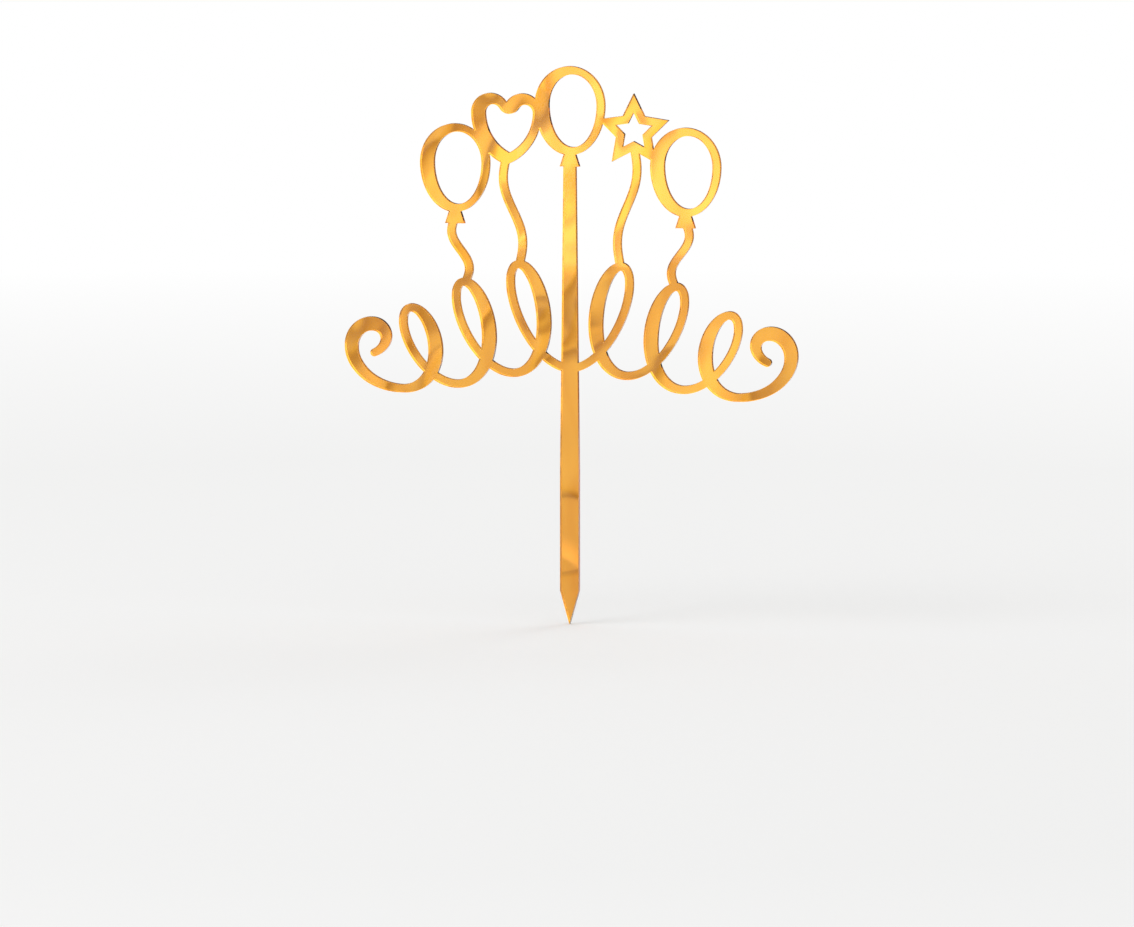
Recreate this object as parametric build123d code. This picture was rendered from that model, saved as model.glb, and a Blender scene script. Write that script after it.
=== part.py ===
from build123d import *
import os
from math import cos, pi, sin, sqrt

# A cake topper, laser-cut from one sheet of gold mirror acrylic. A flat stake with a point runs
# up as a mast. On each side of the mast a brush-drawn ribbon loops outwards and ends in a curl,
# and five balloons stand above the ribbons on strings. The sheet is a laminate: tinted acrylic
# in front, a mirror film behind it and a paint coat on the back, all three cut to one outline.
# The origin is in the middle of the stake, at the level that it is pushed in to, where the blade
# becomes the mast. +Z is up, +X is to the right and the front faces -Y. Lengths are in
# millimetres.

# Sheet layers
SHEET_THICKNESS = 2.0
MIRROR_THICKNESS = 0.1
BACK_COAT_THICKNESS = 0.1

# Brush strokes
STEM_STROKE = 4.6
HAIR_STROKE = 2.6
SWELL_POWER = 1.3
ARCS_PER_STROKE = 8
STRAIGHT_SHARE = 0.0001

# Stake and mast
STAKE_DEPTH = 50.0
STAKE_POINT_LENGTH = 11.0
STAKE_WIDTH = 6.2
MAST_WIDTH = 4.0

# Ribbon on each side of the mast
LOOPS_PER_SIDE = 3
LOOP_PITCH = 18.5
LOOP_WIDTH = 12.0
INNER_LOOP_HEIGHT = 34.0
OUTER_LOOP_HEIGHT = 22.0
RIBBON_HEIGHT = 33.0
RIBBON_DROP = 8.0
LOOP_SLANT_SHARE = 0.22

# Curl at the end of each ribbon
CURL_RUN = 13.5
CURL_WIDTH = 27.5
CURL_HEIGHT = 24.0
CURL_HALF_TURNS = 1.55
CURL_END_SHARE = 0.3

# Balloons
BALLOON_WIDTH = 23.0
BALLOON_RISE = 12.5
BALLOON_FALL = 16.0
HEART_WIDTH = 23.0
HEART_LENGTH = 23.0
HEART_NOTCH_DEPTH = 3.0
STAR_WIDTH = 23.0
STAR_WAIST_SHARE = 0.5
STAR_POINTS = 5
INNER_OVERLAP = 2.0
OUTER_OVERLAP = 6.0
INNER_BALLOON_LIFT = 11.0
CENTRE_BALLOON_LIFT = 8.0

# Knots and strings
KNOT_WIDTH = 6.4
KNOT_LENGTH = 3.6
KNOT_NECK_SHARE = 0.5
OUTER_STRING_FALL = 20.7
STRING_SWAY = 2.0


# Brush strokes


def swell(amount):
    """Width of a brush stroke: 0 is the hairline and 1 is the full stem."""
    return HAIR_STROKE + (STEM_STROKE - HAIR_STROKE) * max(0, amount) ** SWELL_POWER


def bend(first, middle, last):
    """An arc through three points, or a line where they lie straight."""
    chord = last - first
    bulge = (middle - (first + last) / 2).length
    if bulge < chord.length * STRAIGHT_SHARE:
        return Line(first, last)
    return ThreePointArc(first, middle, last)


def stroke(place, width, start, end, round_end=False):
    """A brush stroke as a flat face, with its middle at place(t) and its width from width(t)."""
    steps = 2 * ARCS_PER_STROKE
    nudge = (end - start) / steps**2
    left, right = [], []
    for i in range(steps + 1):
        t = start + (end - start) * i / steps
        ahead = (place(t + nudge) - place(t - nudge)).normalized()
        half = Vector(-ahead.Y, ahead.X) * (width(t) / 2)
        left.append(place(t) + half)
        right.append(place(t) - half)
    edges = [Line(left[0], right[0])]
    for side in (left, right):
        edges += [bend(*side[i : i + 3]) for i in range(0, steps, 2)]
    if round_end:
        edges.append(ThreePointArc(left[-1], place(end) + ahead * (width(end) / 2), right[-1]))
    else:
        edges.append(Line(left[-1], right[-1]))
    return make_face(edges)


# Ribbons, drawn by a pen that is at the foot of a loop at each 2 pi

RIBBON_END = 2 * pi * LOOPS_PER_SIDE


def ribbon_place(t):
    """The pen's place on the loops to the right of the mast."""
    turns = t / (2 * pi)
    outwards = turns / LOOPS_PER_SIDE
    height = INNER_LOOP_HEIGHT + (OUTER_LOOP_HEIGHT - INNER_LOOP_HEIGHT) * outwards**2
    lift = height * (1 - cos(t)) / 2
    foot = RIBBON_HEIGHT - RIBBON_DROP * (1 - cos(pi * outwards)) / 2
    swing = LOOP_WIDTH / 2 + LOOP_PITCH / (2 * pi)
    return Vector(LOOP_PITCH * turns + swing * sin(t) + LOOP_SLANT_SHARE * lift, foot + lift)


def loop_top(number):
    """The top of a loop, counted outwards from the mast."""
    return ribbon_place((2 * number - 1) * pi)


def curl_place(t):
    """The curl goes on from the ribbon's end, at t = 0, and winds up on itself until t = 1."""
    angle = pi * (CURL_HALF_TURNS * t - 1 / 2)
    reach = 1 - (1 - CURL_END_SHARE) * t**2
    across = CURL_RUN * t + CURL_WIDTH / 2 * reach * cos(angle)
    up = CURL_HEIGHT / 2 * (1 + reach * sin(angle))
    return ribbon_place(RIBBON_END) + Vector(across, up)


def pen_place(t):
    """The pen draws the ribbon and then, in one more half turn, the curl."""
    return ribbon_place(t) if t <= RIBBON_END else curl_place((t - RIBBON_END) / pi)


def pen_width(t):
    """The pen is fine on a loop's way up, and broad on its way down and halfway round the curl."""
    return swell(-sin(t)) if t <= RIBBON_END else swell(sin(t - RIBBON_END))


def ribbons():
    """Both ribbons, in strokes of half a turn. The left one is a mirror image."""
    right = [stroke(pen_place, pen_width, i * pi, (i + 1) * pi) for i in range(2 * LOOPS_PER_SIDE)]
    right.append(stroke(pen_place, pen_width, RIBBON_END, RIBBON_END + pi, round_end=True))
    return right + [mirror(face, about=Plane.YZ) for face in right]


# Balloons, each centred on the origin

STAR_RADIUS = STAR_WIDTH / 2 / max(sin(2 * pi * i / STAR_POINTS) for i in range(STAR_POINTS))


def ring(outer, inner):
    """A brush-drawn ring: the inside is moved over, so that the left side is broad."""
    return outer - Pos((STEM_STROKE - HAIR_STROKE) / 2, 0) * inner


def egg(width, rise, fall):
    """Half an ellipse above the widest level and a longer half below it."""
    upper = EllipticalCenterArc((0, 0), width / 2, rise, 0, arc_size=180)
    lower = EllipticalCenterArc((0, 0), width / 2, fall, 180, arc_size=180)
    return make_face([upper, lower])


def knot():
    """The tied neck under a round balloon."""
    neck = KNOT_WIDTH * KNOT_NECK_SHARE / 2
    flare = KNOT_WIDTH / 2
    top = HAIR_STROKE / 2 - BALLOON_FALL
    low = -BALLOON_FALL - KNOT_LENGTH
    return make_face(Polyline((-neck, top), (neck, top), (flare, low), (-flare, low), close=True))


def round_balloon():
    """A round balloon with its knot."""
    outer = egg(BALLOON_WIDTH, BALLOON_RISE, BALLOON_FALL)
    inner_width = BALLOON_WIDTH - STEM_STROKE - HAIR_STROKE
    inner = egg(inner_width, BALLOON_RISE - HAIR_STROKE, BALLOON_FALL - HAIR_STROKE)
    return ring(outer, inner) + knot()


def heart_balloon():
    """A heart: on each side a round lobe, from the notch to the side, and an arc to the point."""
    radius = HEART_WIDTH / 2 + HEART_NOTCH_DEPTH - sqrt(HEART_WIDTH * HEART_NOTCH_DEPTH)
    lobe_x, lobe_y = HEART_WIDTH / 2 - radius, HEART_LENGTH / 2 - radius
    notch = Vector(0, HEART_LENGTH / 2 - HEART_NOTCH_DEPTH)
    side = Vector(HEART_WIDTH / 2, lobe_y)
    point = Vector(0, -HEART_LENGTH / 2)
    lobe = ThreePointArc(notch, (lobe_x, lobe_y + radius), side)
    half = make_face([lobe, TangentArc(side, point, tangent=(0, -1)), Line(point, notch)])
    heart = half + mirror(half, about=Plane.YZ)
    return ring(heart, offset(heart, -(STEM_STROKE + HAIR_STROKE) / 2))


def star_balloon():
    """A star with an even border."""
    corners = []
    for i in range(2 * STAR_POINTS):
        reach = STAR_RADIUS * (STAR_WAIST_SHARE if i % 2 else 1)
        corners.append((reach * sin(pi * i / STAR_POINTS), reach * cos(pi * i / STAR_POINTS)))
    star = make_face(Polyline(*corners, close=True))
    return star - offset(star, -HAIR_STROKE, kind=Kind.INTERSECTION)


def string(top, foot, sway):
    """A string that sways to both sides on its way down from a balloon to a loop."""

    def place(t):
        return top + (foot - top) * t + Vector(sway * sin(2 * pi * t), 0)

    def width(t):
        return HAIR_STROKE

    return stroke(place, width, 0, 1)


# Arch of balloons, built up from the loops that the outer strings are tied to

ROUND_FOOT = BALLOON_FALL + KNOT_LENGTH / 2
HEART_FOOT = HEART_LENGTH / 2 - HAIR_STROKE
STAR_FOOT = STAR_RADIUS * STAR_WAIST_SHARE - HAIR_STROKE / 2
OUTER_HEIGHT = loop_top(2).Y + OUTER_STRING_FALL + ROUND_FOOT
INNER_HEIGHT = OUTER_HEIGHT + INNER_BALLOON_LIFT
CENTRE_HEIGHT = INNER_HEIGHT + CENTRE_BALLOON_LIFT


def hung(shape, foot, side, loop, reach, height):
    """A balloon at its place in the arch, and its string down to a loop."""
    tie = loop_top(loop)
    top = Vector(side * reach, height - foot)
    line = string(top, Vector(side * tie.X, tie.Y), side * STRING_SWAY)
    return [Pos(side * reach, height) * shape, line]


def balloons():
    """Five balloons that overlap their neighbours. The middle one is on the mast."""
    faces = [Pos(0, CENTRE_HEIGHT) * round_balloon()]
    inner_ones = [
        (-1, heart_balloon(), HEART_FOOT, HEART_WIDTH),
        (1, star_balloon(), STAR_FOOT, STAR_WIDTH),
    ]
    for side, shape, foot, width in inner_ones:
        inner_reach = (BALLOON_WIDTH + width) / 2 - INNER_OVERLAP
        outer_reach = inner_reach + (width + BALLOON_WIDTH) / 2 - OUTER_OVERLAP
        faces += hung(shape, foot, side, 1, inner_reach, INNER_HEIGHT)
        faces += hung(round_balloon(), ROUND_FOOT, side, 2, outer_reach, OUTER_HEIGHT)
    return faces


# Stake


def stake():
    """The point, the blade that is pushed in and the mast, which narrows to the middle balloon."""
    top = CENTRE_HEIGHT - ROUND_FOOT
    shoulder = STAKE_POINT_LENGTH - STAKE_DEPTH
    right = [(STAKE_WIDTH / 2, shoulder), (STAKE_WIDTH / 2, 0), (MAST_WIDTH / 2, top)]
    left = [(-x, z) for x, z in reversed(right)]
    return make_face(Polyline((0, -STAKE_DEPTH), *right, *left, close=True))


# The three layers


def layer(cut, front, thickness):
    """One layer of the laminate, from its front face backwards."""
    return extrude(Plane.XZ.offset(-front) * cut, -thickness)


def main():
    cut = Sketch() + [stake()] + ribbons() + balloons()
    print("faces in the outline", len(cut.faces()), "holes", len(cut.face().inner_wires()))
    acrylic_thickness = SHEET_THICKNESS - MIRROR_THICKNESS - BACK_COAT_THICKNESS
    front = -SHEET_THICKNESS / 2
    layers = {
        "acrylic_sheet": (front, acrylic_thickness),
        "mirror_film": (front + acrylic_thickness, MIRROR_THICKNESS),
        "back_coat": (front + acrylic_thickness + MIRROR_THICKNESS, BACK_COAT_THICKNESS),
    }
    os.makedirs("parts", exist_ok=True)
    for name, (face, thickness) in layers.items():
        export_step(layer(cut, face, thickness), f"parts/{name}.step")


main()
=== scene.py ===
# %% [markdown]
# A cake topper in gold mirror acrylic.
# The real topper is cut by a laser from one flat sheet. The sheet is a laminate of three layers: tinted
# clear acrylic in front, a bright metal film behind it, and a coat of paint that guards the film. This
# lesson dresses those three layers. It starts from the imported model, which holds every layer at its real
# size in metres, with +Z up and the gold front facing -Y.

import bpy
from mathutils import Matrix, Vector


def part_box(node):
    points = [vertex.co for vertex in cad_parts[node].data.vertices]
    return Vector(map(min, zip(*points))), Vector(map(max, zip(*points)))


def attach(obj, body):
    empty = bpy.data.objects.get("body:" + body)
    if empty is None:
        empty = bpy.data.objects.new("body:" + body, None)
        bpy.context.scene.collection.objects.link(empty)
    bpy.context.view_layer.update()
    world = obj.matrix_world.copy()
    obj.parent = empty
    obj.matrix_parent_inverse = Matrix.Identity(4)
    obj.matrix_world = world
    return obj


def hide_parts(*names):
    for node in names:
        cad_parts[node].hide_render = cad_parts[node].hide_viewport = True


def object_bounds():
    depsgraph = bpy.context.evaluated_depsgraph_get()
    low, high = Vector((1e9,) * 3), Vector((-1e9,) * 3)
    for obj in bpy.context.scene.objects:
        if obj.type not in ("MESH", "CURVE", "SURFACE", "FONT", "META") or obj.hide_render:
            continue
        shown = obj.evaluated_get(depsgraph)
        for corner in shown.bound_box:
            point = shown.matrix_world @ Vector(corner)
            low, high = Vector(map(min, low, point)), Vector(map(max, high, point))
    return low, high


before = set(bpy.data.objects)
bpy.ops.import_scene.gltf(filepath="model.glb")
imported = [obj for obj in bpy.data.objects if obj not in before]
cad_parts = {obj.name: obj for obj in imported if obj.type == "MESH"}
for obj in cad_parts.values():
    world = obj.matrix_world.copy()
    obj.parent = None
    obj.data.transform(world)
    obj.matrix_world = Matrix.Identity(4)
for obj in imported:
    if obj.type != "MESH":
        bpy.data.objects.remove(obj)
cad_low, cad_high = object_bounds()
print("layers of the topper:", ", ".join(sorted(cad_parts)))

# %% [markdown]
# The outline of the cut.
# One laser cut goes through all three layers, so they share one outline: a line round the outside and a
# line round each gap. It could be drawn again here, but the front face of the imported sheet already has
# it. A side of a triangle that no other front triangle shares lies on the outline. The sides keep the
# order of their triangle, so the sheet is always on the left of them, as seen from the front.

# %% Read the outline from the front of the sheet
from mathutils import Vector

MICROMETRE = 1e-6
FACING_SHARE = 0.99


def flat_point(place):
    """A place on the front face as whole micrometres across and up, so that equal places match."""
    return round(place.x / MICROMETRE), round(place.z / MICROMETRE)


def outline_sides(mesh):
    """The sides on the outline, each as its first point and its last."""
    sides = {}
    for triangle in mesh.polygons:
        if triangle.normal.y < -FACING_SHARE:
            corners = [flat_point(mesh.vertices[i].co) for i in triangle.vertices]
            sides.update(dict.fromkeys(zip(corners, corners[1:] + corners[:1])))
    return {first: last for first, last in sides if (last, first) not in sides}


def outline_loops(mesh):
    """The outline as closed loops of points in metres, each point across and up."""
    following = outline_sides(mesh)
    loops = []
    while following:
        start, point = following.popitem()
        loop = [start]
        while point != start:
            loop.append(point)
            point = following.pop(point)
        loops.append([Vector(p) * MICROMETRE for p in loop])
    return loops


packed_loops = outline_loops(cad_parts["acrylic_sheet"].data)
print("loops in the outline:", len(packed_loops), "points:", sum(len(loop) for loop in packed_loops))

# %% [markdown]
# Rounder curves.
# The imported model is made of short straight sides, and a mirror shows them. Where two sides meet at a
# small angle they stand for an arc, so each gets a point in its middle, lifted from the chord to the arc.
# For a small turn the lift is an eighth of the side times the turn. Real corners and long straight sides
# stay as they are.

# %% Add a point on each arc
from math import atan2, cos, pi, radians, sin

CORNER_TURN = radians(25)
LONGEST_ARC_SIDE = 0.0025
ARC_LIFT_SHARE = 1 / 8


def turn_at(loop, i):
    """The angle by which the outline turns to the left at a point."""
    before = loop[i] - loop[i - 1]
    after = loop[(i + 1) % len(loop)] - loop[i]
    return atan2(before.x * after.y - before.y * after.x, before.dot(after))


def rounder(loop):
    """The loop with one more point on the arc of each short side."""
    turns = [turn_at(loop, i) for i in range(len(loop))]
    points = []
    for i, point in enumerate(loop):
        following = (i + 1) % len(loop)
        side = loop[following] - point
        points.append(point)
        bends = sorted((turns[i], turns[following]), key=abs)
        curved = bends[0] * bends[1] > 0 and abs(bends[1]) < CORNER_TURN
        if curved and side.length < LONGEST_ARC_SIDE:
            outwards = Vector((side.y, -side.x))
            points.append(point + side / 2 + outwards * bends[0] * ARC_LIFT_SHARE)
    return points


loops = [rounder(loop) for loop in packed_loops]
print("points after rounding:", sum(len(loop) for loop in loops))

# %% [markdown]
# The outline, moved inwards.
# Laser-cut acrylic has no knife edge: the heat rounds the rim a little, and that thin round is what shows
# as a bright line in the light. A Bevel modifier could round it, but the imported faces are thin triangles
# that a bevel tears. Here the outline itself is moved into the sheet, a little further at each step of
# the round. Every side moves straight in by the depth, and a point goes to where its two sides now meet.
# A very short side can turn round on the way, so the ends of such a side are joined.

# %% Move an outline into the sheet
RIM_WIDTH = 0.00016
SHARPEST_INSET = 4
SAME_PLACE = 1e-7
JOIN_ROUNDS = 3


def moved_in(loop, depth):
    """The loop with every side moved into the sheet by a depth."""
    count = len(loop)
    sides = [(loop[(i + 1) % count] - loop[i]).normalized() for i in range(count)]
    points = []
    for i, point in enumerate(loop):
        before = Vector((-sides[i - 1].y, sides[i - 1].x))
        after = Vector((-sides[i].y, sides[i].x))
        stretch = min(1 / max(1 + before.dot(after), SAME_PLACE), SHARPEST_INSET)
        points.append(point + (before + after) * depth * stretch)
    for _ in range(JOIN_ROUNDS):
        for i in range(count):
            following = (i + 1) % count
            if (points[following] - points[i]).dot(sides[i]) < 0:
                middle = (points[i] + points[following]) / 2
                points[i] = points[following] = middle
    return points


moves = [(new - old).length for loop in loops for new, old in zip(moved_in(loop, RIM_WIDTH), loop)]
print("a rim of", 1000 * RIM_WIDTH, "mm moves a corner by up to", round(1000 * max(moves), 2), "mm")

# %% [markdown]
# The profile of the acrylic.
# A profile is the section of a layer at the cut, written as steps from its front to its back. Each step
# has a depth into the sheet, a place through its thickness, and a share of 1 at the cut and 0 away from
# it. The acrylic starts with a quarter round, because the laser melts its front corner, and one more step
# just below the round keeps the wall straight. It reaches a hair into the film, so that the two have no
# air between them and no faces in the same place.

# %% The acrylic's profile
ROUND_STEPS = 4
FRONT_ROUND = 0.00010
WALL_START = 0.00003
CONTACT = 0.000005

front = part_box("acrylic_sheet")[0].y
film_front, film_back = (corner.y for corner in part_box("mirror_film"))
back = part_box("back_coat")[1].y


def rounded_rim(radius, face, inwards):
    """Steps of a quarter round from a flat face to the wall. Inwards is 1 at the front, -1 at the back."""
    steps = []
    for i in range(ROUND_STEPS + 1):
        angle = pi / 2 * i / ROUND_STEPS
        steps.append((radius * (1 - sin(angle)), face + inwards * radius * (1 - cos(angle)), 1))
    return steps


acrylic_profile = [
    *rounded_rim(FRONT_ROUND, front, 1),
    (0, front + FRONT_ROUND + WALL_START, 1),
    (0, film_front + CONTACT, 1),
]
print("steps in the acrylic's profile:", len(acrylic_profile))

# %% [markdown]
# The acrylic, swept.
# A sweep runs the profile round every loop of the outline, and two flat faces close its front and back. A
# curve with a bevel object could do this too, but it gets thin at sharp corners, such as the points of the
# star. The faces of a layer have to be as flat as a mirror, and the wall of the cut has to show no facets.
# Shading it all smooth would bend the light on the faces, and a Weighted Normal modifier helps only where
# the flat triangles are larger than those of the rim. So the faces are left flat, the walls are smooth,
# and only real corners are marked as sharp.

# %% Sweep the acrylic
import bmesh
import bpy

SHARP_ANGLE = radians(32)


def sweep_walls(shape, profile):
    """Run a profile round every loop of the outline."""
    rim = shape.verts.layers.float.new("rim")
    for loop in loops:
        rings = []
        for depth, through, rim_share in profile:
            ring = [shape.verts.new((x, through, z)) for x, z in moved_in(loop, depth)]
            for point in ring:
                point[rim] = rim_share
            rings.append(ring)
        for near, far in zip(rings, rings[1:]):
            for i in range(len(near)):
                shape.faces.new((near[i - 1], near[i], far[i], far[i - 1])).smooth = True
    bmesh.ops.remove_doubles(shape, verts=shape.verts, dist=SAME_PLACE)


def close_ends(shape, profile):
    """Close the first and the last step of a profile with flat faces."""
    open_sides = [edge for edge in shape.edges if edge.is_boundary]
    for _, through, _ in (profile[0], profile[-1]):
        end_sides = [edge for edge in open_sides if abs(edge.verts[0].co.y - through) < SAME_PLACE]
        filled = bmesh.ops.triangle_fill(shape, edges=end_sides, use_beauty=True)
        for face in filled["geom"]:
            face.smooth = False


def swept_layer(name, profile):
    """A closed layer with the outline of the cut."""
    shape = bmesh.new()
    sweep_walls(shape, profile)
    close_ends(shape, profile)
    bmesh.ops.recalc_face_normals(shape, faces=shape.faces)
    for edge in shape.edges:
        edge.smooth = edge.calc_face_angle(0) < SHARP_ANGLE
    open_edges = sum(not edge.is_manifold for edge in shape.edges)
    mesh = bpy.data.meshes.new(name)
    shape.to_mesh(mesh)
    shape.free()
    layer = bpy.data.objects.new(name, mesh)
    bpy.context.scene.collection.objects.link(layer)
    print(name, "faces:", len(mesh.polygons), "open edges:", open_edges)
    return layer


acrylic = swept_layer("tinted_acrylic", acrylic_profile)

# %% [markdown]
# The film and the paint.
# The metal film stays square at the cut, and the paint coat is rounded at its back rim, where the laser
# comes out. Both get a ring close to the cut. Between that ring and the cut, the share called rim runs
# from 0 to 1: there the heat has browned them, and their materials read it.

# %% Sweep the film and the paint
BACK_ROUND = 0.00006

film_profile = [
    (RIM_WIDTH, film_front, 0),
    (0, film_front, 1),
    (0, film_back, 1),
    (RIM_WIDTH, film_back, 0),
]
coat_profile = [(0, film_back, 1), *reversed(rounded_rim(BACK_ROUND, back, -1)), (RIM_WIDTH, back, 0)]
film = swept_layer("bright_film", film_profile)
coat = swept_layer("paint_coat", coat_profile)

# %% [markdown]
# Hanging the layers on the model.
# Each swept layer takes the place of a packed one, which is then hidden. It rides on the one body that
# the topper has. The table also lists the slot of the record that its finish belongs to, but nothing here
# uses it.

# %% Hang the layers
stands_for = {
    "acrylic_sheet": (acrylic, "gold_acrylic"),
    "mirror_film": (film, "mirror_film"),
    "back_coat": (coat, "back_coat"),
}
for node, (layer, slot) in stands_for.items():
    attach(layer, "root")
    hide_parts(node)
    print(layer.name, "stands for", node, "size in mm:", [round(1000 * d, 2) for d in layer.dimensions])

# %% [markdown]
# Effects that the layers share.
# Every finish here is made of nodes, with no pictures, so it has detail at any distance. Three effects
# show on more than one layer: the lines of the laser, the waves of the sheet and the brown rim. Each could
# be copied from material to material, but a node group is built once and placed in each of them with its
# own values. The groups start empty, with only their inputs and outputs.

# %% Three empty node groups


def new_group(name, inputs, outputs):
    """An empty node group with number inputs and outputs."""
    group = bpy.data.node_groups.new(name, "ShaderNodeTree")
    for socket in inputs:
        group.interface.new_socket(socket, in_out="INPUT", socket_type="NodeSocketFloat")
    for socket in outputs:
        group.interface.new_socket(socket, in_out="OUTPUT", socket_type="NodeSocketFloat")
    group.nodes.new("NodeGroupInput")
    group.nodes.new("NodeGroupOutput")
    print("node group", name, "takes", ", ".join(inputs), "and gives", ", ".join(outputs))
    return group


laser_lines = new_group("laser_lines", ["Lines per metre"], ["Wall", "Lines"])
waves_and_painted_streaks = new_group("waves_and_painted_streaks", ["Waves per metre"], ["Waves", "Streaks"])
scorched_rim = new_group("scorched_rim", ["Reach"], ["Scorch"])

# %% [markdown]
# Lines of the laser.
# The laser leaves fine lines that run straight through the thickness of the cut. A noise that reads only
# the places across and up gives such lines. The direction that a face looks in tells the wall of the cut
# from the two faces of a layer. Small helpers keep this short: they add a node, feed its inputs, move a
# value from one range to another, and multiply or add two values.

# %% The laser's lines
WALL_FACING = 0.2
FLAT_FACING = 0.8
LINE_NOISE = {"Detail": 3.0, "Roughness": 0.65}


def feed(tree, node, inputs):
    """Give a node's inputs values or the outputs of other nodes, by name or by number."""
    for name, value in inputs.items():
        if isinstance(value, bpy.types.NodeSocket):
            tree.links.new(value, node.inputs[name])
        else:
            node.inputs[name].default_value = value


def put(tree, kind, inputs=None, **settings):
    """Add a node, with its settings and its inputs."""
    node = tree.nodes.new("ShaderNode" + kind)
    for name, value in settings.items():
        setattr(node, name, value)
    feed(tree, node, inputs or {})
    return node


def spread(tree, value, low, high, to_low=0.0, to_high=1.0):
    """A value moved from one range to another, and kept inside it."""
    ends = {"From Min": low, "From Max": high, "To Min": to_low, "To Max": to_high}
    return put(tree, "MapRange", {"Value": value, **ends}).outputs["Result"]


def sums(tree, operation, first, second):
    """The result of a sum with two values, such as MULTIPLY or ADD."""
    return put(tree, "Math", {0: first, 1: second}, operation=operation).outputs[0]


def fill_laser_lines(group):
    """Wall is 1 on the wall of the cut and 0 on a flat face. Lines is a height on that wall."""
    density = group.nodes["Group Input"].outputs["Lines per metre"]
    place = put(group, "TexCoord")
    normal = put(group, "SeparateXYZ", {0: place.outputs["Normal"]})
    facing = put(group, "Math", {0: normal.outputs["Y"]}, operation="ABSOLUTE").outputs[0]
    wall = spread(group, facing, WALL_FACING, FLAT_FACING, 1, 0)
    spot = put(group, "SeparateXYZ", {0: place.outputs["Object"]})
    flat = put(group, "CombineXYZ", {"X": spot.outputs["X"], "Z": spot.outputs["Z"]}).outputs[0]
    lines = put(group, "TexNoise", {"Vector": flat, "Scale": density, **LINE_NOISE}).outputs[0]
    height = sums(group, "MULTIPLY", wall, lines)
    feed(group, group.nodes["Group Output"], {"Wall": wall, "Lines": height})


fill_laser_lines(laser_lines)
print("nodes in the group of the laser's lines:", len(laser_lines.nodes))

# %% [markdown]
# Waves of the sheet, and painted streaks.
# Cast acrylic is never quite flat. Its waves are a few hundredths of a millimetre high and a finger apart,
# and they bend what the mirror shows. Waves as shallow as that would be lost in a mesh, so a noise gives
# them as a height for a bump. A second noise, turned and drawn out, gives slanted streaks for the colour
# of the film. These are painted reflections, standing in for the darker things that the waves tilt it
# towards.

# %% The sheet's waves and painted streaks
STREAK_LEAN = radians(24)
STREAK_STRETCH = (2.6, 1, 0.8)
WAVE_NOISE = {"Detail": 1.0}
STREAK_NOISE = {"Detail": 2.0, "Distortion": 0.6}


def fill_waves_and_painted_streaks(group):
    """The gentle waves of the sheet, as a height, and slanted streaks that are painted reflections."""
    density = group.nodes["Group Input"].outputs["Waves per metre"]
    place = put(group, "TexCoord").outputs["Object"]
    waves = put(group, "TexNoise", {"Vector": place, "Scale": density, **WAVE_NOISE}).outputs[0]
    turn = {"Vector": place, "Rotation": (0, STREAK_LEAN, 0), "Scale": STREAK_STRETCH}
    turned = put(group, "Mapping", turn).outputs[0]
    # Painted reflection: slanted streaks that the film mixes into its colour
    streaks = put(group, "TexNoise", {"Vector": turned, "Scale": density, **STREAK_NOISE}).outputs[0]
    feed(group, group.nodes["Group Output"], {"Waves": waves, "Streaks": streaks})


fill_waves_and_painted_streaks(waves_and_painted_streaks)
print("nodes in the group of the sheet's waves:", len(waves_and_painted_streaks.nodes))

# %% [markdown]
# A scorched rim.
# The heat of the cut browns the film and the paint along the rim, by a fraction of a millimetre and not
# evenly. The share called rim, which the sweep left on the points, says how close the cut is. A fine
# noise added to it makes the brown line ragged, and the reach says how far in it goes.

# %% The scorched rim
RAGGED_NOISE = {"Scale": 420.0, "Detail": 2.0}
RAGGED_SHARE = 0.25
# Most of a noise lies in this range
NOISE_RANGE = (0.3, 0.7)


def fill_scorched_rim(group):
    """How brown the heat has made a layer: 1 at the cut, and 0 where the reach ends."""
    reach = group.nodes["Group Input"].outputs["Reach"]
    rim = put(group, "Attribute", attribute_name="rim").outputs["Fac"]
    place = put(group, "TexCoord").outputs["Object"]
    noise = put(group, "TexNoise", {"Vector": place, **RAGGED_NOISE}).outputs[0]
    uneven = spread(group, noise, *NOISE_RANGE, -RAGGED_SHARE, RAGGED_SHARE)
    ragged = sums(group, "ADD", rim, uneven)
    scorch = spread(group, ragged, sums(group, "SUBTRACT", 1.0, reach), 1.0)
    feed(group, group.nodes["Group Output"], {"Scorch": scorch})


fill_scorched_rim(scorched_rim)
print("nodes in the group of the scorched rim:", len(scorched_rim.nodes))

# %% [markdown]
# Tinted acrylic.
# The gold of this material is not paint: it is clear acrylic with an amber dye, seen twice, once on the
# way to the film and once on the way back. A gold metal shader would be simpler, but the real sheet shows
# a second edge inside its rim, where the wall mirrors in the film, and a deep amber glow in its walls.
# Those come by themselves from a shader that lets light through, with absorption inside, so that a longer
# way through the sheet gives a darker amber. The faces are polished, with a trace of haze where they were
# touched, and the walls are slightly frosted and carry the laser's lines.

# %% The acrylic's material
FACE_TINT = (1.0, 0.89, 0.68, 1)
WALL_TINT = (1.0, 0.80, 0.46, 1)
DYE_COLOUR = (0.98, 0.78, 0.0, 1)
DYE_DENSITY = 460.0
ACRYLIC_IOR = 1.49
WALL_FROST = 0.12
TOUCH_SCALE = 55.0
TOUCH_RANGE = (0.45, 0.75)
TOUCH_HAZE = 0.03
LINES_PER_METRE = 2600.0
LINE_BUMP = {"Strength": 0.35, "Distance": 0.0001}
WAVES_PER_METRE = 30.0
ACRYLIC_WAVE_BUMP = {"Strength": 0.5, "Distance": 0.00035}
# Numbers of the Mix node's sockets for colours
MIX_SHARE = 0
MIX_FIRST = 6
MIX_SECOND = 7
MIX_RESULT = 2


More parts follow.
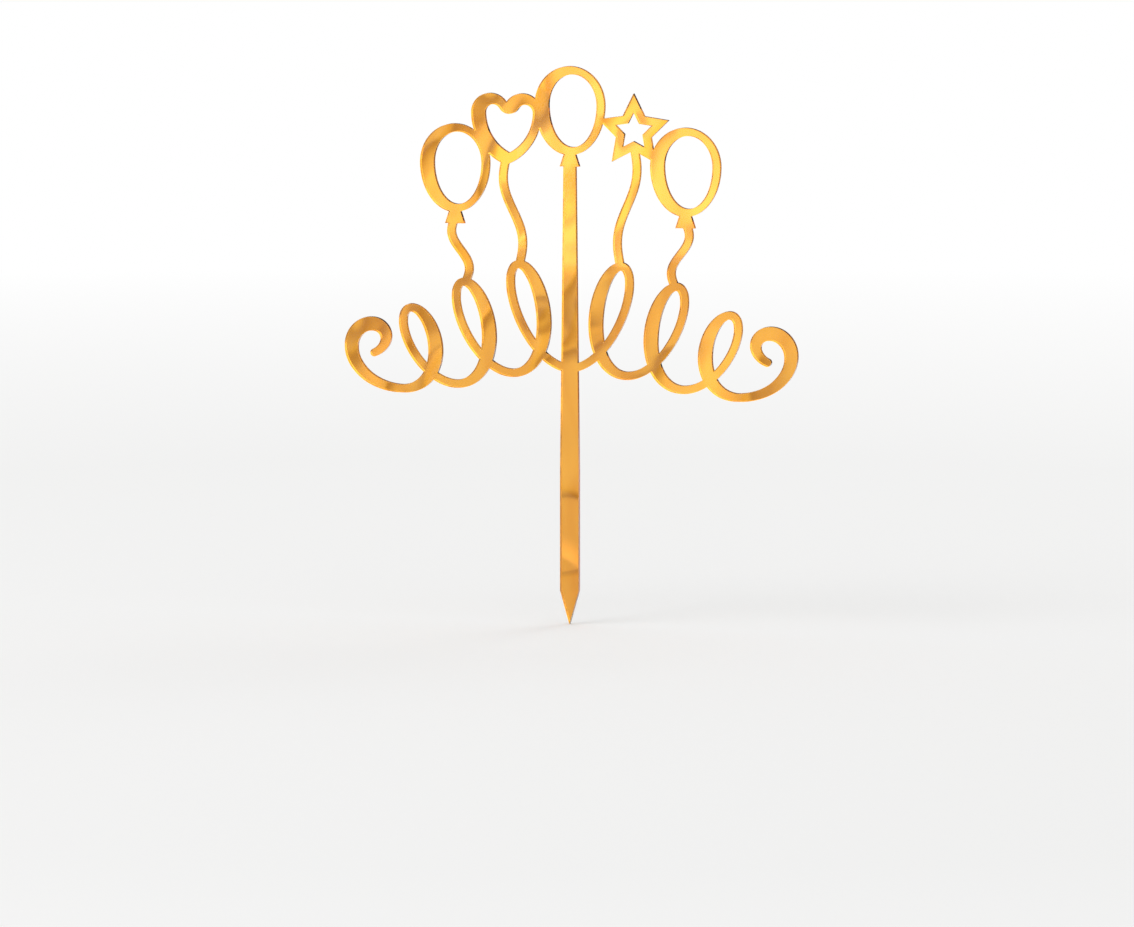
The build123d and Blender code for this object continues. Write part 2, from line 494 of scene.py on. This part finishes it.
def new_material(name):
    """A material with only its shader and its output."""
    material = bpy.data.materials.new(name)
    material.use_nodes = True
    tree = material.node_tree
    tree.nodes.clear()
    shader = put(tree, "BsdfPrincipled")
    output = put(tree, "OutputMaterial", {"Surface": shader.outputs[0]})
    return material, tree, shader, output


def mixed(tree, share, first, second):
    """A colour between two others."""
    inputs = {MIX_SHARE: share, MIX_FIRST: first, MIX_SECOND: second}
    return put(tree, "Mix", inputs, data_type="RGBA").outputs[MIX_RESULT]


def acrylic_material():
    """Clear amber acrylic, polished on its faces and slightly frosted on the walls of the cut."""
    material, tree, shader, output = new_material("amber_acrylic")
    cut = put(tree, "Group", {"Lines per metre": LINES_PER_METRE}, node_tree=laser_lines).outputs
    sheet = put(tree, "Group", {"Waves per metre": WAVES_PER_METRE}, node_tree=waves_and_painted_streaks).outputs
    place = put(tree, "TexCoord").outputs["Object"]
    touched = put(tree, "TexNoise", {"Vector": place, "Scale": TOUCH_SCALE}).outputs[0]
    haze = spread(tree, touched, *TOUCH_RANGE, 0.0, TOUCH_HAZE)
    frost = sums(tree, "MULTIPLY", cut["Wall"], WALL_FROST)
    grooves = put(tree, "Bump", {"Height": cut["Lines"], **LINE_BUMP}).outputs[0]
    waves = put(tree, "Bump", {"Height": sheet["Waves"], "Normal": grooves, **ACRYLIC_WAVE_BUMP})
    finish = {
        "Base Color": mixed(tree, cut["Wall"], FACE_TINT, WALL_TINT),
        "Roughness": sums(tree, "ADD", haze, frost),
        "Normal": waves.outputs[0],
        "Transmission Weight": 1.0,
        "IOR": ACRYLIC_IOR,
    }
    feed(tree, shader, finish)
    dye = put(tree, "VolumeAbsorption", {"Color": DYE_COLOUR, "Density": DYE_DENSITY})
    feed(tree, output, {"Volume": dye.outputs[0]})
    return material


acrylic.data.materials.append(acrylic_material())
print("the acrylic's material:", acrylic.data.materials[0].name)

# %% [markdown]
# Bright film.
# The mirror is a metal film on the back of the acrylic. It is bright and a little warm, with a thin brown
# line where the laser scorched it along the cut. Its colour also has soft amber streaks, which are painted
# reflections: they stand in for the darker things that the waves of the sheet tilt a mirror towards. A
# metal shader with a low roughness does this, with the waves as a bump and the painted reflections and the
# scorch mixed into its colour.

# %% The film's material
FILM_BRIGHT = (1.0, 0.75, 0.38, 1)
# Colour of the painted reflections: amber streaks that stand in for darker surroundings in the mirror
FILM_PAINTED_REFLECTION = (0.87, 0.56, 0.22, 1)
FILM_SCORCHED = (0.20, 0.085, 0.02, 1)
FILM_ROUGHNESS = 0.03
FILM_PAINTED_REFLECTION_RANGE = (0.42, 0.72)
FILM_SCORCH_REACH = 0.75
FILM_SCORCH_ROUGHNESS = 0.35
FILM_WAVE_BUMP = {"Strength": 0.6, "Distance": 0.0006}


def film_material():
    """A warm mirror with painted reflections as amber streaks, and a scorched rim."""
    material, tree, shader, _ = new_material("warm_mirror")
    sheet = put(tree, "Group", {"Waves per metre": WAVES_PER_METRE}, node_tree=waves_and_painted_streaks).outputs
    scorch = put(tree, "Group", {"Reach": FILM_SCORCH_REACH}, node_tree=scorched_rim).outputs["Scorch"]
    # Painted reflection: the streak noise mixes amber into the film's colour in place of mirrored darker
    # things
    amber = spread(tree, sheet["Streaks"], *FILM_PAINTED_REFLECTION_RANGE)
    clean = mixed(tree, amber, FILM_BRIGHT, FILM_PAINTED_REFLECTION)
    dull = sums(tree, "MULTIPLY", scorch, FILM_SCORCH_ROUGHNESS)
    waves = put(tree, "Bump", {"Height": sheet["Waves"], **FILM_WAVE_BUMP})
    finish = {
        "Base Color": mixed(tree, scorch, clean, FILM_SCORCHED),
        "Roughness": sums(tree, "ADD", dull, FILM_ROUGHNESS),
        "Normal": waves.outputs[0],
        "Metallic": 1.0,
    }
    feed(tree, shader, finish)
    return material


film.data.materials.append(film_material())
print("the film's material:", film.data.materials[0].name)

# %% [markdown]
# Paint coat.
# The back of the sheet is a coat of grey paint, rolled on to guard the film. It is satin, slightly
# mottled, with the fine orange-peel skin that rollers leave, and it is browned along the cut. A base
# colour that varies a little, a bump of fine noise and a medium roughness give that.

# %% The paint's material
PAINT_LIGHT = (0.47, 0.47, 0.46, 1)
PAINT_DARK = (0.40, 0.40, 0.39, 1)
PAINT_SCORCHED = (0.16, 0.12, 0.085, 1)
PAINT_ROUGHNESS = (0.38, 0.50)
PAINT_SCORCH_REACH = 0.8
CLOUD_NOISE = {"Scale": 60.0, "Detail": 4.0}
SPECK_NOISE = {"Scale": 1500.0, "Detail": 2.0}
PEEL_NOISE = {"Scale": 700.0, "Detail": 1.0}
MOTTLE_RANGE = (0.75, 1.25)
PEEL_BUMP = {"Strength": 0.3, "Distance": 0.0001}


def paint_material():
    """Satin grey paint with an orange-peel skin and a scorched rim."""
    material, tree, shader, _ = new_material("satin_grey_paint")
    scorch = put(tree, "Group", {"Reach": PAINT_SCORCH_REACH}, node_tree=scorched_rim).outputs["Scorch"]
    cut = put(tree, "Group", {"Lines per metre": LINES_PER_METRE}, node_tree=laser_lines).outputs
    place = put(tree, "TexCoord").outputs["Object"]
    cloud = put(tree, "TexNoise", {"Vector": place, **CLOUD_NOISE}).outputs[0]
    speck = put(tree, "TexNoise", {"Vector": place, **SPECK_NOISE}).outputs[0]
    peel = put(tree, "TexNoise", {"Vector": place, **PEEL_NOISE}).outputs[0]
    mottle = spread(tree, sums(tree, "ADD", cloud, speck), *MOTTLE_RANGE)
    clean = mixed(tree, mottle, PAINT_DARK, PAINT_LIGHT)
    height = sums(tree, "ADD", peel, cut["Lines"])
    skin = put(tree, "Bump", {"Height": height, **PEEL_BUMP})
    finish = {
        "Base Color": mixed(tree, scorch, clean, PAINT_SCORCHED),
        "Roughness": spread(tree, cloud, *NOISE_RANGE, *PAINT_ROUGHNESS),
        "Normal": skin.outputs[0],
    }
    feed(tree, shader, finish)
    return material


coat.data.materials.append(paint_material())
print("the paint's material:", coat.data.materials[0].name)

# %% [markdown]
# The camera.
# The photograph looks at the front of the topper from a little above and a little to the right, and from
# far off, through a long lens. The camera is placed by two marks in the picture: the origin, on the
# stake, and the top of the topper. The distance is a guess, and the lens follows from it: a point at
# height h is f * h * cos(e) / (distance - h * sin(e)) pixels above the origin, at an elevation e.

# %% The camera
PICTURE_WIDTH = 1134
PICTURE_HEIGHT = 927
ORIGIN_PIXEL = (570, 470)
TOP_PIXEL = 66
CAMERA_DISTANCE = 2.4
CAMERA_ELEVATION = radians(7)
CAMERA_TURN = radians(14)

height = cad_high.z
rise = height * cos(CAMERA_ELEVATION)
focal_pixels = (ORIGIN_PIXEL[1] - TOP_PIXEL) * (CAMERA_DISTANCE - height * sin(CAMERA_ELEVATION)) / rise
pixel_size = CAMERA_DISTANCE / focal_pixels

lens = bpy.data.cameras.new("camera")
lens.lens = focal_pixels * lens.sensor_width / PICTURE_WIDTH
camera = bpy.data.objects.new("camera", lens)
aim = Vector((
    (PICTURE_WIDTH / 2 - ORIGIN_PIXEL[0]) * pixel_size / cos(CAMERA_TURN),
    0,
    (ORIGIN_PIXEL[1] - PICTURE_HEIGHT / 2) * pixel_size / cos(CAMERA_ELEVATION),
))
level = cos(CAMERA_ELEVATION)
towards = Vector((level * sin(CAMERA_TURN), -level * cos(CAMERA_TURN), sin(CAMERA_ELEVATION)))
camera.location = aim + towards * CAMERA_DISTANCE
camera.rotation_euler = (-towards).to_track_quat("-Z", "Y").to_euler()
bpy.context.scene.collection.objects.link(camera)
bpy.context.scene.camera = camera
bpy.context.scene.view_settings.view_transform = "Standard"
print("lens", round(lens.lens, 1), "mm, one pixel is", round(1000 * pixel_size, 3), "mm at the topper")

# %% [markdown]
# A pale floor.
# The topper stands with its point on a plain pale floor, which keeps its soft shadow. Further out the
# floor turns plain white for what the camera and the mirror see, so that it meets the white of the
# studio with no line between them. A curved backdrop would do the same, but it would need a place behind
# the topper, and so would not serve views from other sides.

# %% The floor
FLOOR_RADIUS = 20.0
FLOOR_SIDES = 96
FLOOR_PALE = (0.93, 0.93, 0.925, 1)
FLOOR_ROUGHNESS = 0.9
GRAIN_SCALE = 300.0
GRAIN_SHARE = 0.03
SHADOW_RADIUS = 0.45
WHITE_RADIUS = 1.2
WHITE = (1, 1, 1, 1)
BLACK = (0, 0, 0, 1)


def seen_rays(tree):
    """1 for the rays that show the surroundings: straight, mirrored or through the acrylic."""
    path = put(tree, "LightPath").outputs
    mirrored = sums(tree, "ADD", path["Is Camera Ray"], path["Is Glossy Ray"])
    return spread(tree, sums(tree, "ADD", mirrored, path["Is Transmission Ray"]), 0, 1)


def floor_material():
    """Pale paper near the topper, plain white further out."""
    material, tree, paper, output = new_material("pale_floor")
    place = put(tree, "TexCoord").outputs["Object"]
    grain = put(tree, "TexNoise", {"Vector": place, "Scale": GRAIN_SCALE}).outputs[0]
    fibre = spread(tree, grain, *NOISE_RANGE, 0, GRAIN_SHARE)
    finish = {
        "Base Color": mixed(tree, fibre, FLOOR_PALE, WHITE),
        "Roughness": FLOOR_ROUGHNESS,
        "Specular IOR Level": 0.0,
    }
    feed(tree, paper, finish)
    distance = put(tree, "VectorMath", {0: place}, operation="LENGTH").outputs["Value"]
    far = spread(tree, distance, SHADOW_RADIUS, WHITE_RADIUS)
    seen_far = sums(tree, "MULTIPLY", far, seen_rays(tree))
    white = put(tree, "Emission")
    both = put(tree, "MixShader", {0: seen_far, 1: paper.outputs[0], 2: white.outputs[0]})
    feed(tree, output, {"Surface": both.outputs[0]})
    return material


bpy.ops.mesh.primitive_circle_add(vertices=FLOOR_SIDES, radius=FLOOR_RADIUS, fill_type="NGON")
floor = bpy.context.object
floor.name = "floor"
floor.location.z = cad_low.z
floor.data.materials.append(floor_material())
print("floor at", round(1000 * cad_low.z, 1), "mm, the tip of the stake")

# %% [markdown]
# White surroundings.
# A mirror shows the studio more than it shows itself. White surroundings give an even mid gold, a panel
# gives the pale gold on the upper right, and grey gauze gives the amber streaks. The world is the white
# surroundings. It lights the floor and the paint a little less than it shows, and softboxes make up the
# rest, so that colours come out about as they are written.

# %% The world
SURROUNDINGS = 0.80


def studio_world():
    """White where it is seen, and softer as a light."""
    world = bpy.data.worlds.new("white_studio")
    world.use_nodes = True
    tree = world.node_tree
    tree.nodes.clear()
    light = put(tree, "Background", {"Strength": SURROUNDINGS, "Color": WHITE})
    white = put(tree, "Background", {"Strength": 1.0, "Color": WHITE})
    both = put(tree, "MixShader", {0: seen_rays(tree), 1: light.outputs[0], 2: white.outputs[0]})
    put(tree, "OutputWorld", {"Surface": both.outputs[0]})
    return world


bpy.context.scene.world = studio_world()
print("world:", bpy.context.scene.world.name)

# %% [markdown]
# Softboxes.
# Each softbox is an area light whose brightness is given as what a mirror sees of it, where 1 is white. A
# light of that brightness has a power of pi times the brightness times its area. The key softbox is at
# the upper left and gives the soft shadow, and the rear one lights the back and the walls of the cut.

# %% The softboxes
KEY_PLACE = Vector((-1.1, -1.0, 1.5))
KEY_SIDE = 1.0
KEY_BRIGHTNESS = 2.2
REAR_PLACE = Vector((0.7, 1.3, 1.2))
REAR_SIDE = 0.8
REAR_BRIGHTNESS = 1.6


def softbox(name, place, width, height, brightness, aim):
    """A rectangular area light that points at a place and is hidden from the camera."""
    light = bpy.data.lights.new(name, "AREA")
    light.shape = "RECTANGLE"
    light.size = width
    light.size_y = height
    light.energy = brightness * pi * width * height
    box = bpy.data.objects.new(name, light)
    box.location = place
    box.rotation_euler = (aim - place).to_track_quat("-Z", "Y").to_euler()
    box.visible_camera = False
    bpy.context.scene.collection.objects.link(box)
    print(name, "power", round(light.energy, 2), "W")


topper_middle = (cad_low + cad_high) / 2
softbox("key_softbox", KEY_PLACE, KEY_SIDE, KEY_SIDE, KEY_BRIGHTNESS, topper_middle)
softbox("rear_softbox", REAR_PLACE, REAR_SIDE, REAR_SIDE, REAR_BRIGHTNESS, topper_middle)

# %% [markdown]
# A pale panel.
# A lit panel stands in front, where the mirror shows it on the upper right of the topper and turns it into
# pale gold. It could be an area light, but that would light the floor too, so it is a card that only
# mirrored rays see. It is see-through, so it adds its light to the white behind it. To place its corner, a
# helper follows the view from the camera to a spot on the sheet and on from there, as the mirror does.

# %% The panel
PANEL_SPOT = (-0.016, 0.066)
PANEL_DISTANCE = 0.8
PANEL_WIDTH = 0.24
PANEL_HEIGHT = 0.20
PANEL_BRIGHTNESS = 0.70


def in_front(across, up, distance):
    """The place at a distance in front of the sheet that the camera sees mirrored at a spot of it."""
    away = Vector((across, 0, up)) - camera.location
    share = distance / away.y
    return Vector((across + away.x * share, -distance, up + away.z * share))


def flag(name, place, width, length, lean, material):
    """An upright card that leans to the right, and that only a mirror sees."""
    bpy.ops.mesh.primitive_plane_add(size=1, location=place)
    card = bpy.context.object
    card.name = name
    card.scale = (width, length, 1)
    card.rotation_euler = (pi / 2, lean, 0)
    card.visible_camera = False
    card.visible_diffuse = False
    card.visible_shadow = False
    card.data.materials.append(material)
    return card


def lit_card_material(name, brightness):
    """A see-through card that adds its light to what is behind it."""
    material, tree, shader, output = new_material(name)
    tree.nodes.remove(shader)
    clear = put(tree, "BsdfTransparent")
    light = put(tree, "Emission", {"Strength": brightness})
    both = put(tree, "AddShader", {0: clear.outputs[0], 1: light.outputs[0]})
    feed(tree, output, {"Surface": both.outputs[0]})
    return material


panel_middle = in_front(*PANEL_SPOT, PANEL_DISTANCE) + Vector((PANEL_WIDTH / 2, 0, PANEL_HEIGHT / 2))
panel_light = lit_card_material("panel_light", PANEL_BRIGHTNESS)
flag("pale_panel", panel_middle, PANEL_WIDTH, PANEL_HEIGHT, 0, panel_light)
print("panel at", [round(1000 * d) for d in panel_middle], "mm")

# %% [markdown]
# Light for the edges.
# Seen from the right and from above, the sheet shows a pale line inside its left and lower edges. Light
# that goes in there is thrown back by the wall of the cut and by the film, so it shows what is on the
# camera's own side, where the faces never look. A pale line could be drawn on the sheet instead, but it
# would stay there when the view changes. So two more lit cards stand there, on the right and above.

# %% The edge cards
EDGE_CARD_DISTANCE = 0.6
EDGE_CARD_BRIGHTNESS = 1.2

edge_light = lit_card_material("edge_light", EDGE_CARD_BRIGHTNESS)
# Left, right, lower and upper side of each card in metres
edge_cards = {"right_card": (0.02, 0.42, -0.05, 0.45), "upper_card": (-0.42, 0.02, 0.12, 0.45)}
for name, (left, right, low, high) in edge_cards.items():
    middle = Vector(((left + right) / 2, -EDGE_CARD_DISTANCE, (low + high) / 2))
    flag(name, middle, right - left, high - low, 0, edge_light)
print("edge cards:", len(edge_cards))

# %% [markdown]
# Flags for the streaks.
# A mirror needs something dark to show, or it looks like plain yellow plastic. Photographers hang cards in
# front of it, called flags. Some of these are pieces of grey gauze, and some are pieces of silk that are
# lit from behind. They lean to the right, crisp on one side and fading out to the other and at their ends.
# Only the mirror sees them, so they cast no shadow and show in no picture. Each is placed by the spot of
# the sheet where the mirror shows its middle, and its width and length are what it covers there. The long
# strips cross the whole topper, and the short patches give it a few darker or brighter places.

# %% The gauze and the silk
FLAG_DISTANCE = 0.5
GAUZE_TINT = (0.46, 0.36, 0.28, 1)
SILK_GLOW = (0.45, 0.42, 0.36, 1)
CRISP_SHARE = 0.15
END_SHARE = 0.25


def flag_material(name, tint, glow):
    """See-through cloth, crisp on its left side, that fades out to its right side and its ends."""
    material, tree, shader, output = new_material(name)
    tree.nodes.remove(shader)
    place = put(tree, "SeparateXYZ", {0: put(tree, "TexCoord").outputs["Generated"]}).outputs
    crisp = spread(tree, place["X"], 0, CRISP_SHARE)
    fading = spread(tree, place["X"], CRISP_SHARE, 1, 1, 0)
    from_below = spread(tree, place["Y"], 0, END_SHARE)
    from_above = spread(tree, place["Y"], 1 - END_SHARE, 1, 1, 0)
    ends = sums(tree, "MULTIPLY", from_below, from_above)
    thread = sums(tree, "MULTIPLY", sums(tree, "MULTIPLY", crisp, fading), ends)
    cloth = put(tree, "BsdfTransparent", {"Color": mixed(tree, thread, WHITE, tint)})
    light = put(tree, "Emission", {"Color": glow, "Strength": thread})
    both = put(tree, "AddShader", {0: cloth.outputs[0], 1: light.outputs[0]})
    feed(tree, output, {"Surface": both.outputs[0]})
    return material


gauze = flag_material("grey_gauze", GAUZE_TINT, BLACK)
silk = flag_material("lit_silk", WHITE, SILK_GLOW)
# Cloth, across, up, width and length on the sheet in metres, and lean in degrees
flags = {
    "left_strip": (gauze, -0.060, 0.070, 0.008, 0.26, 30),
    "balloon_strip": (gauze, -0.036, 0.070, 0.007, 0.26, 26),
    "mast_strip": (gauze, -0.012, 0.070, 0.012, 0.26, 34),
    "thin_strip": (gauze, 0.008, 0.070, 0.006, 0.26, 28),
    "heart_patch": (gauze, -0.029, 0.113, 0.010, 0.030, 35),
    "crown_patch": (gauze, -0.008, 0.119, 0.010, 0.026, 30),
    "mast_patch": (gauze, 0.001, 0.043, 0.009, 0.032, 36),
    "loop_patch": (gauze, -0.026, 0.045, 0.010, 0.026, 30),
    "curl_patch": (gauze, -0.070, 0.036, 0.010, 0.030, 25),
    "low_patch": (gauze, 0.032, 0.030, 0.008, 0.032, 32),
    "right_patch": (gauze, 0.062, 0.030, 0.010, 0.032, 28),
    "left_silk": (silk, -0.046, 0.070, 0.010, 0.26, 28),
    "middle_silk": (silk, -0.022, 0.060, 0.008, 0.12, 30),
    "right_silk": (silk, 0.046, 0.036, 0.012, 0.040, 30),
}
enlarged = 1 - FLAG_DISTANCE / camera.location.y
for name, (cloth, across, up, width, length, lean) in flags.items():
    place = in_front(across, up, FLAG_DISTANCE)
    flag(name, place, width * enlarged, length * enlarged, radians(lean), cloth)
print("flags:", len(flags))

# %% [markdown]
# Strips on the floor.
# From higher up or further round, the mirror looks down at the floor in front of it, and there it would
# show only plain white. Strips of the same gauze and silk lie on the floor, fanned out to the left and to
# the right, so that the gold keeps its streaks in those views too. Again only the mirror sees them.

# %% The floor strips
STRIP_WIDTHS = (0.010, 0.016, 0.022, 0.020, 0.008, 0.026, 0.016)
STRIP_LENGTH = 0.40
STRIP_STEP = 0.034
STRIP_START = 0.03
STRIP_LIFT = 0.001
STRIP_TURN = radians(24)

strip_middle = -STRIP_START - STRIP_LENGTH / 2
strip_height = cad_low.z + STRIP_LIFT
for side, side_name in ((-1, "left"), (1, "right")):
    for i, width in enumerate(STRIP_WIDTHS):
        place = Vector((side * STRIP_STEP * (i + 1), strip_middle, strip_height))
        cloth = silk if i % 2 else gauze
        strip = flag(f"{side_name}_floor_strip_{i + 1}", place, width, STRIP_LENGTH, 0, cloth)
        strip.rotation_euler = (0, 0, side * STRIP_TURN)
print("floor strips:", 2 * len(STRIP_WIDTHS))

# %% [markdown]
# A dark card behind.
# The real topper has a thin dark line along many of its edges, where the walls of the cut mirror what is
# dark behind it. They face it at a low angle, so they mirror it well. A wide dark card stands there, and
# it is hidden from all but mirrored rays.

# %% The rear card
REAR_CARD_PLACE = Vector((0, 0.55, 0.3))
REAR_CARD_WIDTH = 2.4
REAR_CARD_HEIGHT = 0.7
DARK_TINT = (0.20, 0.14, 0.10, 1)

dark_card, dark_tree, dark_shader, _ = new_material("dark_card")
feed(dark_tree, dark_shader, {"Base Color": DARK_TINT})
rear_card = flag("rear_card", REAR_CARD_PLACE, REAR_CARD_WIDTH, REAR_CARD_HEIGHT, 0, dark_card)
rear_card.visible_transmission = False
print("rear card at", round(1000 * rear_card.location.y), "mm behind the topper")
